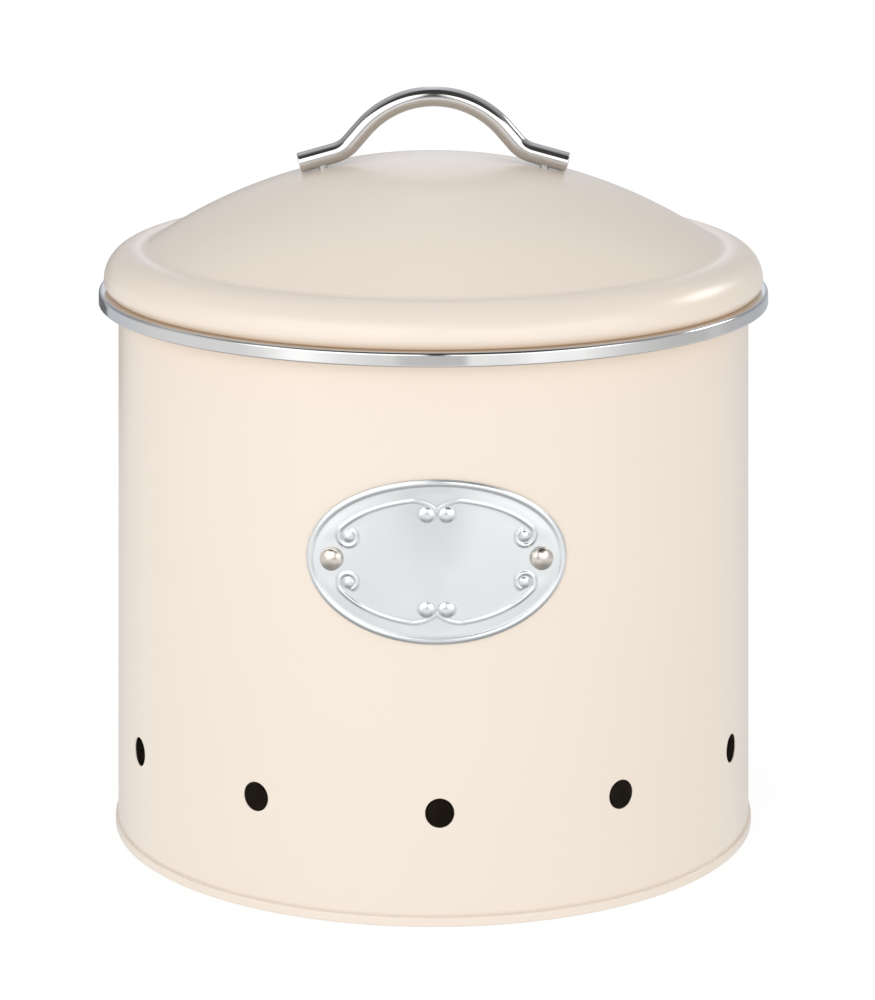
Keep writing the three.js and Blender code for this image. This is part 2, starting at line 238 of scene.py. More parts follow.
def lock_seam_shift(along, height, inner):
    """How far the folded seam moves the wall's surface outwards, at a distance along the wall from it."""
    if abs(along) > LOCK_SEAM_COLUMNS[-1]:
        return 0.0
    starts = rise_between(height, LOCK_SEAM_BOTTOM, LOCK_SEAM_BOTTOM + LOCK_SEAM_FADE)
    ends = rise_between(height, LOCK_SEAM_TOP - LOCK_SEAM_FADE, LOCK_SEAM_TOP)
    if inner:
        fold = 1 - rise_between(abs(along), LOCK_SEAM_HALF - 0.3, LOCK_SEAM_HALF + 0.15)
        return -LOCK_SEAM_RISE * fold * starts * (1 - ends)
    groove = 1 - rise_between(abs(along - LOCK_SEAM_HALF), 0.0, LOCK_GROOVE_HALF)
    return -LOCK_GROOVE_DEPTH * groove * starts * (1 - ends)


def wall_rows():
    """Heights of the wall's rows, and the number of the vents' lowest one."""
    at_vents = [VENT_HEIGHT + (i - VENT_PATCH / 2) * CELL for i in range(VENT_PATCH + 1)]
    at_seam = [LOCK_SEAM_BOTTOM + 0.01, LOCK_SEAM_BOTTOM + LOCK_SEAM_FADE]
    at_seam += [LOCK_SEAM_TOP - LOCK_SEAM_FADE, LOCK_SEAM_TOP]
    plain = [1.2, 12.0, 20.0, 27.0] + [60.0 + 13.0 * i for i in range(11)] + [197.5, 202.0]
    rows = sorted(at_vents + at_seam + plain)
    return rows, rows.index(at_vents[0])


def flange_outline():
    """The flange at the mouth, from the wall's outside, round its turned-down edge, to the wall's inside."""
    bend = 1.2
    neck = (WALL_RADIUS + bend, MOUTH - SHEET - bend)
    edge = MOUTH - FLANGE_TURN_DOWN
    outline = arc(neck, bend, 180, 90, 6)
    outline += arc((FLANGE_RADIUS - bend, MOUTH - SHEET - bend), bend - SHEET, 90, 0, 5)
    outline += [(FLANGE_RADIUS - SHEET, edge), (FLANGE_RADIUS, edge)]
    outline += arc((FLANGE_RADIUS - bend, MOUTH - bend), bend, 0, 90, 6)
    outline += arc(neck, bend + SHEET, 90, 180, 6)
    return outline


def nearest_column(columns, angle):
    """Number of the column nearest to an angle round the wall."""
    def gap(column):
        return abs((columns[column] - angle + math.pi) % (2 * math.pi) - math.pi)
    return min(range(len(columns)), key=gap)


def patch_loop(row, way, first, count):
    """Numbers of the vertices round a vent's patch. Its rows run up when way is 1, down when it is -1."""
    low, high = (row, row + VENT_PATCH) if way > 0 else (row + VENT_PATCH, row)
    loop = [(low, first + j) for j in range(VENT_PATCH)]
    loop += [(low + way * j, first + VENT_PATCH) for j in range(VENT_PATCH)]
    loop += [(high, first + VENT_PATCH - j) for j in range(VENT_PATCH)]
    loop += [(high - way * j, first) for j in range(VENT_PATCH)]
    return [i * count + j % count for i, j in loop]


def wall_verts(outline, wall_count, columns):
    """The outline's vertices at each column. wall_count of its points at either end are the wall's."""
    last = len(outline) - 1
    verts = []
    for i, (radius, height) in enumerate(outline):
        on_wall = min(i, last - i) < wall_count
        for angle in columns:
            along = (angle - math.pi) * WALL_RADIUS
            r = radius + (lock_seam_shift(along, height, i > wall_count) if on_wall else 0.0)
            verts.append((r * math.sin(angle), -r * math.cos(angle), height))
    return verts


def body_shell_shape():
    """The wall with its vents and lock seam, and the flange at the mouth. Inside and outside are one skin."""
    rows, low = wall_rows()
    inside = WALL_RADIUS - SHEET
    outline = [(WALL_RADIUS, z) for z in rows] + flange_outline() + [(inside, z) for z in reversed(rows)]
    columns = wall_columns()
    count = len(columns)
    verts = wall_verts(outline, len(rows), columns)
    skipped = set()
    loops = []
    for vent in range(VENTS):
        middle = VENT_TURN + vent * 2 * math.pi / VENTS
        first = nearest_column(columns, middle) - VENT_PATCH // 2
        pair = []
        for row, way in ((low, 1), (len(outline) - 1 - low - VENT_PATCH, -1)):
            for i in range(VENT_PATCH):
                skipped.update((row + i, (first + j) % count) for j in range(VENT_PATCH))
            pair.append(patch_loop(row, way, first, count))
        loops.append((middle, pair))
    faces = []
    for i in range(len(outline)):
        k = (i + 1) % len(outline)
        for j in range(count):
            if (i, j) not in skipped:
                m = (j + 1) % count
                faces.append([i * count + j, i * count + m, k * count + m, k * count + j])
    for middle, (outside_loop, inside_loop) in loops:
        previous = outside_loop
        for ring in vent_rings(middle):
            current = list(range(len(verts), len(verts) + len(ring)))
            verts.extend(ring)
            faces.extend(between(previous, current))
            previous = current
        faces.extend(between(previous, inside_loop))
    return verts, faces


def vent_rings(middle):
    """Rings of vertices from the outside of a punched vent, round its soft painted edge, to the inside."""
    profile = [(VENT_RADIUS + width, 0.0) for width in VENT_SURROUND]
    profile += [(VENT_RADIUS + VENT_LIP - x, y) for x, y in quarter(VENT_LIP, 5)]
    profile += [(radius, SHEET - depth) for radius, depth in reversed(profile)]
    count = 4 * VENT_PATCH
    rings = []
    for radius, depth in profile:
        ring = []
        for k in range(count):
            turn = math.radians(225) + 2 * math.pi * k / count
            angle = middle + radius * math.cos(turn) / WALL_RADIUS
            r = WALL_RADIUS - depth
            ring.append((r * math.sin(angle), -r * math.cos(angle), VENT_HEIGHT + radius * math.sin(turn)))
        rings.append(ring)
    return rings


def quarter(size, steps):
    """Points (inwards, down) of a quarter round, from its flat start to its full depth."""
    turns = [math.pi / 2 * i / steps for i in range(steps + 1)]
    return [(size * math.sin(t), size * (1 - math.cos(t))) for t in turns]


def between(ring_a, ring_b):
    """The faces between two rings with the same number of vertices."""
    count = len(ring_a)
    return [[ring_a[i], ring_a[(i + 1) % count], ring_b[(i + 1) % count], ring_b[i]] for i in range(count)]


SEAM_DEPTH = 2.7  # across the double seam, measured along the radius
SEAM_TOP = 3.45
PANEL_HEIGHT = 3.2  # underside of the recessed panel
PANEL_STEP = 1.2  # the panel's middle is pressed up by this
STEP_RADIUS = 108.0
STEP_SLOPE = 60  # degrees
BEAD_RADIUS = 60.0
BEAD_WIDTH = 4.0
BEAD_DEPTH = 0.5


def base_shape():
    """The pressed base: a recessed panel with a bead and a step, its side wall and the rolled double seam."""
    inner = SEAM_RADIUS - SEAM_DEPTH
    middle = PANEL_HEIGHT + PANEL_STEP
    bend = 2.0
    corner = 0.8
    roll = 0.5
    tuck = 0.3
    step_in = (STEP_RADIUS - 3.6, middle - bend)
    step_out = (STEP_RADIUS, PANEL_HEIGHT + bend)
    outline = [(0.0, middle)]
    outline += bead(middle)
    outline += arc(step_in, bend, 90, STEP_SLOPE, 4)
    outline += arc(step_out, bend, 180 + STEP_SLOPE, 270, 4)
    outline += arc((inner - corner, PANEL_HEIGHT - corner), corner, 90, 0, 5)
    outline += arc((inner + roll, roll), roll, 180, 270, 5)
    outline += arc((SEAM_RADIUS - roll, roll), roll, 270, 360, 6)
    outline += arc((SEAM_RADIUS - roll, SEAM_TOP - roll), roll, 0, 90, 8)
    outline += arc((WALL_RADIUS + tuck, SEAM_TOP + tuck), tuck, 270, 190, 5)
    outline += [(WALL_RADIUS + 0.02, PANEL_HEIGHT)]
    outline += arc((WALL_RADIUS + 0.02 - tuck, SHEET + tuck), tuck, 0, -90, 4)
    outline += arc((inner + SHEET + tuck, SHEET + tuck), tuck, 270, 180, 4)
    outline += arc((inner - 0.6, PANEL_HEIGHT - 0.4), 1.2, 0, 90, 6)
    outline += arc(step_out, bend - SHEET, 270, 180 + STEP_SLOPE, 4)
    outline += arc(step_in, bend + SHEET, STEP_SLOPE, 90, 4)
    outline += [(r, z + SHEET) for r, z in reversed(bead(middle))]
    outline += [(0.0, middle + SHEET)]
    return turned(outline, 288)


def bead(height):
    """The shallow round bead pressed down into the flat middle of the panel, as (radius, height) points."""
    steps = 8
    points = []
    for i in range(steps + 1):
        share = i / steps
        dip = BEAD_DEPTH * math.sin(math.pi * share) ** 2
        points.append((BEAD_RADIUS + BEAD_WIDTH * (share - 0.5), height - dip))
    return points


def trim_ring_shape():
    """The bright channel strip closed over the flange, with its butt joint at the back."""
    strip = 0.5
    top_round = 1.3
    edge = 0.5
    lip_round = 0.7
    corner = 0.2
    joint_gap = 0.35
    under = WALL_RADIUS + 0.6
    crown = (TRIM_RADIUS - top_round, TRIM_TOP - top_round)
    lip_end = (TRIM_LIP_RADIUS + strip / 2, bottom("rim_trim_ring") + strip / 2)
    outline = [(under, TRIM_BOTTOM)]
    outline += arc((TRIM_RADIUS - edge, TRIM_BOTTOM + edge), edge, -90, 0, 6)
    outline += arc(crown, top_round, 0, 90, 12)
    outline += arc((TRIM_LIP_RADIUS + lip_round, TRIM_TOP - lip_round), lip_round, 90, 180, 7)
    outline += arc(lip_end, strip / 2, 180, 360, 8)
    outline += [(TRIM_LIP_RADIUS + strip, TRIM_TOP - 2 * strip)]
    outline += [(TRIM_LIP_RADIUS + 2 * strip, TRIM_TOP - strip)]
    outline += arc(crown, top_round - strip, 90, 0, 8)
    outline += [(TRIM_RADIUS - strip, TRIM_BOTTOM + strip + corner)]
    outline += [(TRIM_RADIUS - strip - corner, TRIM_BOTTOM + strip)]
    outline += [(under, TRIM_BOTTOM + strip)]
    return opened(supported(outline, True), 480, joint_gap / TRIM_RADIUS)


def opened(outline, sides, gap):
    """A closed outline swept round +Z with a narrow gap at the back, capped at both ends."""
    count = len(outline)
    verts = []
    for i in range(sides + 1):
        angle = math.pi + gap / 2 + (2 * math.pi - gap) * i / sides
        verts.extend((r * math.sin(angle), -r * math.cos(angle), z) for r, z in outline)
    faces = []
    for i in range(sides):
        for j in range(count):
            k = (j + 1) % count
            faces.append([i * count + j, i * count + k, (i + 1) * count + k, (i + 1) * count + j])
    faces.append(list(range(count)))
    faces.append(list(range(sides * count, (sides + 1) * count)))
    return verts, faces


# ------------------------------ label plate and rivets

PLATE = 0.6
PLATE_BACK = WALL_RADIUS + 0.12
RIM_BEAD = 2.6  # width of the round bead along the label's edge
SCROLL_DIP = ((0.0, 18.4), (2.4, 21.6), (8.5, 22.19))  # curve from between the balls up to the oval
SCROLL_WIDE = 40.6  # half axes of the oval that the scrolls follow
SCROLL_HIGH = 22.7
VOLUTE_START = math.radians(30.3)  # where the oval turns into a volute
VOLUTE_TURN = math.radians(285)
VOLUTE_RADIUS = 4.2
DIP_STEPS, OVAL_STEPS, VOLUTE_STEPS = 14, 70, 44
RIDGE_HALF = 0.85
EYE_BALL = (2.1, 0.72)  # radius and height
CREST_BALL = (2.9, 0.85)
CREST_BALL_PLACE = (3.6, 17.2)


def scroll_line():
    """Centre line of one scroll, in the upper right quarter of the label, and the eye of its volute."""
    start, pull, end = [Vector(point) for point in SCROLL_DIP]
    points = []
    for i in range(DIP_STEPS):
        share = i / DIP_STEPS
        points.append(start * (1 - share) ** 2 + pull * 2 * share * (1 - share) + end * share ** 2)
    crest = math.acos(end.x / SCROLL_WIDE)
    for i in range(OVAL_STEPS):
        turn = crest + (VOLUTE_START - crest) * i / OVAL_STEPS
        points.append(Vector((SCROLL_WIDE * math.cos(turn), SCROLL_HIGH * math.sin(turn))))
    across, up = math.cos(VOLUTE_START), math.sin(VOLUTE_START)
    outwards = Vector((across / SCROLL_WIDE, up / SCROLL_HIGH)).normalized()
    eye = Vector((SCROLL_WIDE * across, SCROLL_HIGH * up)) - outwards * VOLUTE_RADIUS
    first = math.atan2(outwards.y, outwards.x)
    for i in range(VOLUTE_STEPS + 1):
        share = i / VOLUTE_STEPS
        turn = first - VOLUTE_TURN * share
        size = VOLUTE_RADIUS * (1 - 0.42 * share)
        points.append(eye + Vector((math.cos(turn), math.sin(turn))) * size)
    return np.array(points), tuple(eye)


def sheet_relief(u, v):
    """The round bead along the label's edge, and the crowned and slightly waved sheet inside it."""
    u_scale, v_scale = u / LABEL_HALF_WIDTH, v / LABEL_HALF_HEIGHT
    size = np.maximum(np.hypot(u_scale, v_scale), 1e-6)
    slope = np.hypot(u_scale / LABEL_HALF_WIDTH, v_scale / LABEL_HALF_HEIGHT) / size
    edge = (1 - size) / np.maximum(slope, 1e-6)
    bead_side = (edge - RIM_BEAD / 2) / (RIM_BEAD / 2)
    relief = 0.42 * np.clip(1 - bead_side ** 2, 0, 1) ** 1.4
    relief += 0.04 * rise_between(edge, RIM_BEAD, 2 * RIM_BEAD)
    relief += 0.03 * np.sin(u / 6.1 + 1.0) * np.cos(v / 7.3 + 0.4)
    relief += 0.25 * np.clip(1 - (u / 36) ** 2 - (v / 21) ** 2, 0, 1)
    return relief


def line_distance(points, line):
    """Distance from each point to the nearest stretch of a line."""
    nearest = np.full(points.shape[:-1], np.inf)
    for a, b in zip(line, line[1:]):
        along = b - a
        share = np.clip(((points - a) @ along) / (along @ along), 0, 1)
        gap = points - a - share[..., None] * along
        nearest = np.minimum(nearest, np.hypot(gap[..., 0], gap[..., 1]))
    return nearest


def shoulder_relief(u, v, line):
    """The sheet's soft rise up to the scrolls from their outer side. u and v are positive."""
    outside = (np.hypot(u / SCROLL_WIDE, v / SCROLL_HIGH) - 1) * SCROLL_HIGH
    dip = line[:DIP_STEPS + 1]
    over_dip = (u < dip[-1, 0]) & (v > 12)
    outside = np.where(over_dip, v - np.interp(u, dip[:, 0], dip[:, 1]), outside)
    shoulder = np.clip(1 - outside / 3.4, 0, 1) ** 1.6 * rise_between(outside, -0.7, 0.1)
    return 0.10 * shoulder * rise_between(v, 6.0, 12.0) * (0.3 + 0.7 * rise_between(u, 3.0, 14.0))


def label_relief(u, v):
    """Height of the pressed label over its flat sheet, at distances along (u) and up (v) from its middle."""
    line, eye = scroll_line()
    folded = np.stack([np.abs(u), np.abs(v)], axis=-1)
    relief = sheet_relief(u, v) + shoulder_relief(np.abs(u), np.abs(v), line)
    crest = 0.15 + 0.22 * rise_between(np.abs(u), 25.0, 31.0)
    relief += crest * np.clip(1 - (line_distance(folded, line) / RIDGE_HALF) ** 2, 0, 1) ** 1.3
    for middle, (radius, height) in ((eye, EYE_BALL), (CREST_BALL_PLACE, CREST_BALL)):
        far = np.hypot(folded[..., 0] - middle[0], folded[..., 1] - middle[1]) / radius
        ball = height * np.clip(1 - far ** 2, 0, 1) ** 0.7
        relief = np.where(far < 1, np.maximum(relief, ball), relief)
    return relief


def label_shape():
    """An oval plate with pressed relief, wrapped round the wall, and how hollow it is at each vertex."""
    turns = np.arange(480) * 2 * np.pi / 480
    shares = np.concatenate([np.arange(1, 132) * 0.007, np.linspace(0.9235, 1.0, 20)])
    u = LABEL_HALF_WIDTH * shares[:, None] * np.cos(turns)[None, :]
    v = LABEL_HALF_HEIGHT * shares[:, None] * np.sin(turns)[None, :]
    relief = label_relief(u, v)
    around = sum(np.roll(relief, step, axis) for axis in (0, 1) for step in (3, -3)) / 4
    hollow = np.clip((around - relief) / 0.16, 0, 1)
    hollow[-3:] = 0
    rim_u, rim_v = u[-1], v[-1]
    flat = np.zeros(len(turns))
    edge = [wrapped(rim_u, rim_v, flat + PLATE - depth) for depth in (0.05, 0.2, 0.4)]
    back = [wrapped(rim_u * share, rim_v * share, flat) for share in (0.99, 0.6, 0.25)]
    rings = list(wrapped(u, v, PLATE + relief)) + edge + back
    middle = np.zeros(1)
    verts = [tuple(p) for ring in rings for p in ring]
    verts.append(tuple(wrapped(middle, middle, PLATE + label_relief(middle, middle))[0]))
    verts.append(tuple(wrapped(middle, middle, middle)[0]))
    count = len(turns)
    numbered = [list(range(i * count, (i + 1) * count)) for i in range(len(rings))]
    faces = []
    for ring_a, ring_b in zip(numbered, numbered[1:]):
        faces.extend(between(ring_a, ring_b))
    first, last = numbered[0], numbered[-1]
    for i in range(count):
        j = (i + 1) % count
        faces.append([len(verts) - 2, first[i], first[j]])
        faces.append([len(verts) - 1, last[j], last[i]])
    hollows = np.zeros(len(verts), np.float32)
    hollows[:hollow.size] = hollow.ravel()
    return (verts, faces), hollows


def wrapped(u, v, height):
    """Points at a height over the label's back, at distances along and up from the label's middle."""
    angle = u / WALL_RADIUS
    radius = PLATE_BACK + height
    return np.stack([radius * np.sin(angle), -radius * np.cos(angle), LABEL_HEIGHT + v], axis=-1)


def rivet_shape(side):
    """A domed rivet through plate and wall, with its tail rolled over inside."""
    head_radius, head_side, head_rise = 4.2, 1.2, 1.5
    shank = 2.0
    seat = PLATE + 0.3
    dome = (head_radius ** 2 + head_rise ** 2) / (2 * head_rise)
    foot = math.degrees(math.asin(1 - head_rise / dome))
    brow = seat + head_side
    outline = [(0.0, -SHEET - 0.5)]
    outline += arc((1.0, -SHEET - 0.9), 0.4, 90, 0, 4)
    outline += arc((2.15, -SHEET - 0.95), 0.75, 180, 360, 12)
    outline += [(2.9, -SHEET - 0.12), (shank, -SHEET - 0.06), (shank, seat)]
    outline += arc((head_radius - 0.15, seat + 0.15), 0.15, 270, 360, 4)
    outline += arc((head_radius - 0.3, brow), 0.3, 0, foot, 5)
    outline += arc((0.0, brow + head_rise - dome), dome, foot + 4, 90, 22)
    angle = side * RIVET_OFFSET / WALL_RADIUS
    stand = Matrix.Rotation(angle, 4, "Z") @ Matrix.Translation((0, -WALL_RADIUS, LABEL_HEIGHT))
    return moved(turned(outline, 96), stand @ Matrix.Rotation(math.pi / 2, 4, "X"))


# ------------------------------ lid

def lid_face(depth):
    """One face of the lid's sheet from its axis to its widest radius, at a depth under the outside."""
    shoulder = (LID_RADIUS - SHOULDER_ROUND, SHOULDER_HEIGHT)
    rise = SHOULDER_HEIGHT - DOME_MIDDLE
    span = math.hypot(shoulder[0], rise)
    to_dome = DOME_RADIUS + VALLEY_ROUND
    to_shoulder = SHOULDER_ROUND + VALLEY_ROUND
    apart = math.acos((to_dome ** 2 + span ** 2 - to_shoulder ** 2) / (2 * to_dome * span))
    turn = math.atan2(rise, shoulder[0]) + apart
    valley = (to_dome * math.cos(turn), DOME_MIDDLE + to_dome * math.sin(turn))
    dome_end = math.degrees(turn)
    shoulder_start = 90 - math.degrees(math.asin((valley[0] - shoulder[0]) / to_shoulder))
    points = arc((0.0, DOME_MIDDLE), DOME_RADIUS - depth, 90, dome_end, 26)
    points += arc(valley, VALLEY_ROUND + depth, 180 + dome_end, 180 + shoulder_start, 12)[1:]
    points += arc(shoulder, SHOULDER_ROUND - depth, shoulder_start, 0, 26)[1:]
    return points


def lid_shell_shape():
    """The spun lid, with its edge rolled under and hemmed."""
    roll = (LID_RADIUS - ROLL_ROUND, SHOULDER_HEIGHT)
    inner_round = ROLL_ROUND - SHEET
    under = math.degrees(math.asin((LID_BOTTOM - SHOULDER_HEIGHT) / ROLL_ROUND))
    inner_under = math.degrees(math.asin((LID_BOTTOM + SHEET - SHOULDER_HEIGHT) / inner_round))
    outline = lid_face(SHEET)
    outline += arc(roll, inner_round, 0, inner_under, 10)[1:]
    outline += arc((HEM_RADIUS + SHEET / 2, LID_BOTTOM + SHEET / 2), SHEET / 2, 90, 270, 8)
    outline += arc(roll, ROLL_ROUND, under, 0, 14)
    outline += lid_face(0.0)[::-1][1:]
    return turned(outline)


def collar_shape():
    """The plug ring, with its lower edge turned in and its flange held over the lid's hem."""
    low = COLLAR_BOTTOM
    flange = top("lid_collar") - SHEET
    inner = COLLAR_RADIUS - SHEET
    far = reach("lid_collar")
    turn_in, corner = 1.5, 0.5
    outline = arc((COLLAR_RADIUS - turn_in, low + SHEET / 2), SHEET / 2, 100, 270, 8)
    outline += arc((COLLAR_RADIUS - turn_in, low + turn_in), turn_in, 275, 360, 8)
    outline += arc((COLLAR_RADIUS + corner, flange - corner), corner, 180, 90, 5)
    outline += arc((far - SHEET / 2, flange + SHEET / 2), SHEET / 2, -90, 90, 8)
    outline += arc((inner + corner + SHEET, flange - corner), corner + SHEET, 90, 180, 6)
    outline += arc((inner + SHEET - turn_in, low + turn_in), turn_in - SHEET, 0, -80, 6)
    return turned(outline)


# ------------------------------ handle and its screws

ROD = 4.0
ROD_SIDES = 56
ROD_CHAMFER = 0.45
CROWN_BEND = 37.0
FOOT_BEND = 13.0
FLANK_SLOPE = math.radians(49)
FOOT_SLOPE = math.radians(15.5)
HANDLE_END = (53.5, 258.6)


def bent(middle, size, start, end, steps):
    """Points of a bend in the rod, with their slopes. A negative size bends it upwards."""
    turns = [start + (end - start) * i / steps for i in range(steps + 1)]
    return [(middle + size * Vector((math.sin(turn), math.cos(turn))), turn) for turn in turns]


def handle_line():
    """Centre line of the bent rod in the plane y = 0, as points (x, z) with slopes, from left to right."""
    flank, foot = FLANK_SLOPE, FOOT_SLOPE
    crown_top = top("handle_bar") - ROD
    end = Vector(HANDLE_END)
    crown = Vector((0, crown_top - CROWN_BEND))
    shoulder = crown + CROWN_BEND * Vector((math.sin(flank), math.cos(flank)))
    at_axis = shoulder.y + shoulder.x * math.tan(flank)
    foot_at_axis = end.y + end.x * math.tan(foot)
    corner = (at_axis - foot_at_axis) / (math.tan(flank) - math.tan(foot))
    tangent = FOOT_BEND * math.tan((flank - foot) / 2)
    foot_start = Vector((corner, foot_at_axis - corner * math.tan(foot)))
    foot_start += tangent * Vector((math.cos(foot), -math.sin(foot)))
    bend = foot_start + FOOT_BEND * Vector((math.sin(foot), math.cos(foot)))
    flank_end = bend - FOOT_BEND * Vector((math.sin(flank), math.cos(flank)))
    half = bent(crown, CROWN_BEND, 0.0, flank, 48)
    half += [(shoulder.lerp(flank_end, i / 10), flank) for i in range(1, 10)]
    half += bent(bend, -FOOT_BEND, flank, foot, 24)
    half += [(foot_start.lerp(end, i / 24), foot) for i in range(1, 25)]
    left = [(Vector((-p.x, p.y)), -turn) for p, turn in reversed(half[1:])]
    return left + half


def handle_shape():
    """The rod, with turned and slightly chamfered ends."""
    line = handle_line()
    ends = [(0.0, ROD - ROD_CHAMFER), (ROD_CHAMFER * 0.35, ROD - ROD_CHAMFER * 0.35), (ROD_CHAMFER, ROD)]
    start, start_turn = line[0]
    finish, finish_turn = line[-1]
    way_in = Vector((math.cos(start_turn), -math.sin(start_turn)))
    way_out = Vector((math.cos(finish_turn), -math.sin(finish_turn)))
    stations = [(start + way_in * depth, start_turn, size) for depth, size in ends]
    stations += [(p, turn, ROD) for p, turn in line[1:-1]]
    stations += [(finish - way_out * depth, finish_turn, size) for depth, size in reversed(ends)]
    verts = []
    for point, turn, size in stations:
        up = Vector((math.sin(turn), 0, math.cos(turn)))
        for k in range(ROD_SIDES):
            angle = 2 * math.pi * k / ROD_SIDES
            offset = up * math.cos(angle) * size + Vector((0, 1, 0)) * math.sin(angle) * size
            verts.append(Vector((point.x, 0, point.y)) + offset)
    rings = [list(range(i * ROD_SIDES, (i + 1) * ROD_SIDES)) for i in range(len(stations))]
    faces = []
    for low, high in zip(rings, rings[1:]):
        faces.extend(between(low, high))
    for rim, point in ((rings[0], start), (rings[-1], finish)):
        middle = Vector((point.x, 0, point.y))
        ring = list(range(len(verts), len(verts) + ROD_SIDES))
        verts.extend([verts[k].lerp(middle, 0.12) for k in rim])
        faces.extend(between(rim, ring))
        faces.append(ring)
    return verts, faces


WASHER = 0.8  # thickness
WASHER_TOP = -SHEET - 0.1
SCREW_SIDES = 48
HEAD_TOP = WASHER_TOP - 0.02 - WASHER - 0.05  # where the head meets the washer
HEAD_HEIGHT = 2.5
RECESS_DEPTH = 0.9
THREAD_RADIUS = 2.0
THREAD_DEPTH = 0.4
THREAD_PITCH = 0.7
THREAD_ROWS = 76
THREAD_END = 7.6  # over the lid's outside


def screw_stand(side):
    """Places a shape with its zero on the lid's outside at a screw hole, along the dome's normal."""
    return (
        Matrix.Translation((0, 0, DOME_MIDDLE))
        @ Matrix.Rotation(side * SCREW_TILT, 4, "Y")
        @ Matrix.Translation((0, 0, DOME_RADIUS))
    )


def screw_shape(side):
    """A pan-head screw with a driver recess and a rolled thread."""
    floor_height = HEAD_TOP - HEAD_HEIGHT + RECESS_DEPTH
    recess = [(0.75, floor_height), (1.15, HEAD_TOP - HEAD_HEIGHT + 0.15), (1.3, HEAD_TOP - HEAD_HEIGHT)]
    head = arc((3.0, HEAD_TOP - HEAD_HEIGHT + 1.0), 1.0, 270, 360, 6)
    head += [(4.0, HEAD_TOP - 0.1), (3.9, HEAD_TOP), (THREAD_RADIUS + 0.1, HEAD_TOP)]
    angles = [2 * math.pi * k / SCREW_SIDES for k in range(SCREW_SIDES)]
    rows = []
    for radius, height in recess:
        across = [max(abs(math.cos(a)), abs(math.sin(a))) for a in angles]
        rows.append((height, [radius * (0.55 + 0.715 * a ** 6) for a in across]))
    rows += [(height, [radius] * SCREW_SIDES) for radius, height in head]
    start = HEAD_TOP + 0.1
    for i in range(THREAD_ROWS + 1):
        height = start + (THREAD_END - start) * i / THREAD_ROWS
        taper = 0.78 + 0.22 * min(1.0, (THREAD_ROWS - i) / 8)
        phases = [(height / THREAD_PITCH - k / SCREW_SIDES) % 1.0 for k in range(SCREW_SIDES)]
        depths = [THREAD_DEPTH * (1 - abs(2 * phase - 1)) ** 0.9 for phase in phases]
        rows.append((height, [(THREAD_RADIUS - depth) * taper for depth in depths]))
    verts = [(0.0, 0.0, floor_height)]
    rings = []
    for height, sizes in rows:
        rings.append(list(range(len(verts), len(verts) + SCREW_SIDES)))
        verts.extend((size * math.sin(a), -size * math.cos(a), height) for size, a in zip(sizes, angles))
    faces = []
    for ring_a, ring_b in zip(rings, rings[1:]):
        faces.extend(between(ring_a, ring_b))
    faces.extend([0, rings[0][k], rings[0][(k + 1) % SCREW_SIDES]] for k in range(SCREW_SIDES))
    faces.append(rings[-1])
    return moved((verts, faces), screw_stand(side))


def washer_shape(side):
    """A plain pressed washer with softened edges."""
    high = WASHER_TOP
    low = high - WASHER
    soft = 0.15
    hole, outer = 2.2, 5.0
    outline = arc((hole + soft, low + soft), soft, 180, 270, 3)
    outline += arc((outer - soft, low + soft), soft, 270, 360, 3)
    outline += arc((outer - soft, high - soft), soft, 0, 90, 3)
    outline += arc((hole + soft, high - soft), soft, 90, 180, 3)
    return moved(turned(outline, 72), screw_stand(side))


# ------------------------------ materials

def new_material(name, colour, roughness, metallic=0.0):
    """A material with one Principled shader. Returns it with its node tree and the shader."""
    material = bpy.data.materials.new(name)
    material.use_nodes = True
    shader = material.node_tree.nodes["Principled BSDF"]
    shader.inputs["Base Color"].default_value = (*colour, 1)
    shader.inputs["Roughness"].default_value = roughness
    shader.inputs["Metallic"].default_value = metallic
    return material, material.node_tree, shader


def add_node(tree, kind, inputs=None, **settings):
    """A shader node with its settings, and its inputs set to values or linked to sockets."""
    made = tree.nodes.new("ShaderNode" + kind)
    for name, value in settings.items():
        setattr(made, name, value)
    for name, value in (inputs or {}).items():
        if isinstance(value, bpy.types.NodeSocket):
            tree.links.new(value, made.inputs[name])
        else:
            made.inputs[name].default_value = value
    return made


def place(tree, stretch=(1, 1, 1)):
    """A point's place on the object in metres, stretched along the axes."""
    coordinates = add_node(tree, "TexCoord").outputs["Object"]
    scaled = add_node(tree, "VectorMath", {0: coordinates, 1: stretch}, operation="MULTIPLY")
    return scaled.outputs["Vector"]


def noise(tree, where, scale, detail):
    inputs = {"Vector": where, "Scale": scale, "Detail": detail, "Roughness": 0.5}
    return add_node(tree, "TexNoise", inputs).outputs["Fac"]


def spread(tree, value, low, high):
    """Maps a noise value, which stays mostly between 0.3 and 0.7, to a range."""
    inputs = {"Value": value, "From Min": 0.3, "From Max": 0.7, "To Min": low, "To Max": high}
    return add_node(tree, "MapRange", inputs).outputs["Result"]


def blend_colours(tree, share, first, second):
    mixed = add_node(tree, "Mix", data_type="RGBA")
    tree.links.new(share, mixed.inputs["Factor"])
    mixed.inputs["A"].default_value = (*first, 1)
    mixed.inputs["B"].default_value = (*second, 1)
    return mixed.outputs["Result"]


def bump(tree, height, depth, strength, under=None):
    """Surface relief from a 0 to 1 height, depth in millimetres."""
    inputs = {"Height": height, "Distance": depth * MM, "Strength": strength}
    if under is not None:
        inputs["Normal"] = under
    return add_node(tree, "Bump", inputs).outputs["Normal"]


